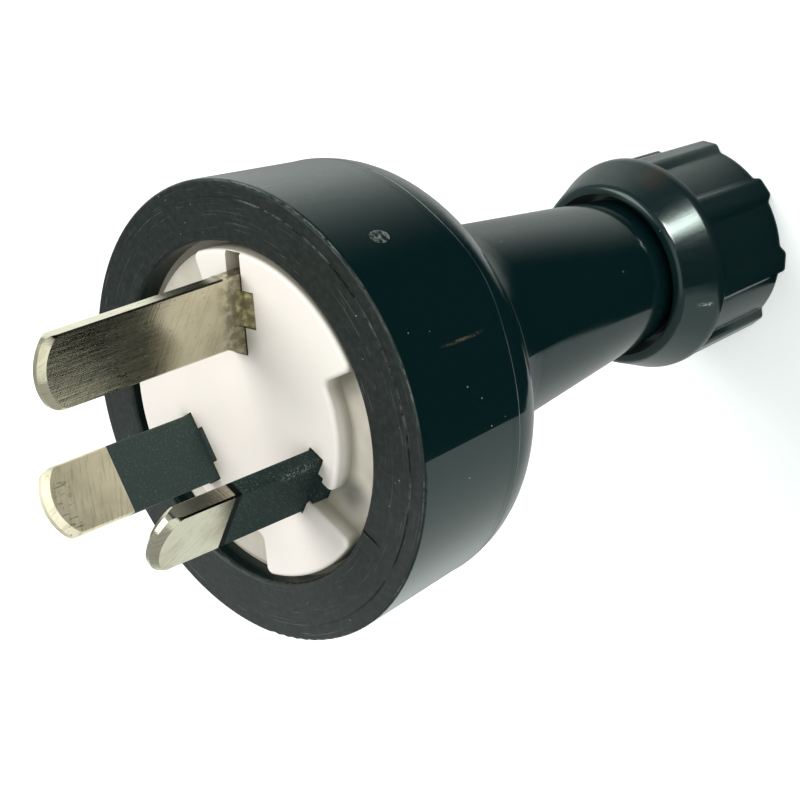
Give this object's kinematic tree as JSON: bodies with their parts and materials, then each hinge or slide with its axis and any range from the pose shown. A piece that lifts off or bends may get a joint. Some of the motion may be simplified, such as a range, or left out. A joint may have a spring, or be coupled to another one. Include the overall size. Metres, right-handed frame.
{
  "type": "rewirable plug",
  "caption": "Round rewirable mains plug with flat angled pins, sleeved live pins, a white terminal base, a bell-shaped black cover and a ribbed gland nut that screws on its neck.",
  "frame": {"origin": "centre of the bounding box's bottom, on the gland nut's end face", "axes": "+Z along the plug's axis from the nut to the pins, +Y towards the earth pin, +X to the neutral pin's side"},
  "size_m": [0.0418, 0.0418, 0.0857],
  "materials": {
    "cover_black": "gloss, with a matte face",
    "nut_black": "gloss",
    "base_white": "satin",
    "pin_nickel": "nickel-plated, brushed",
    "sleeve_black": "matte, fine grain",
    "clamp_brass": "bright",
    "screw_steel": "zinc-plated",
    "grommet_rubber": "matte",
    "washer_nylon": "satin"
  },
  "bodies": {
    "plug_body": {"cover_shell": "cover_black", "terminal_base": "base_white", "earth_pin": "pin_nickel", "active_pin": "pin_nickel", "neutral_pin": "pin_nickel", "active_sleeve": "sleeve_black", "neutral_sleeve": "sleeve_black", "earth_clamp": "clamp_brass", "active_clamp": "clamp_brass", "neutral_clamp": "clamp_brass", "earth_screw": "screw_steel", "active_screw": "screw_steel", "neutral_screw": "screw_steel", "cord_grommet": "grommet_rubber"},
    "washer": {"slip_washer": "washer_nylon"},
    "nut": {"gland_nut": "nut_black"}
  },
  "joints": [
    {"name": "nut_travel", "type": "slide", "parent": "plug_body", "child": "washer", "axis": [0, 0, -1], "range_m": [0, 0.007]},
    {"name": "nut_turn", "type": "hinge", "parent": "washer", "child": "nut", "pos_m": [0, 0, 0.008], "axis": [0, 0, -1], "range_deg": [0, 1260]}
  ],
  "couplings": [
    {"joint": "nut_travel", "follows": "nut_turn", "m_per_rad": 0.000318}
  ]
}
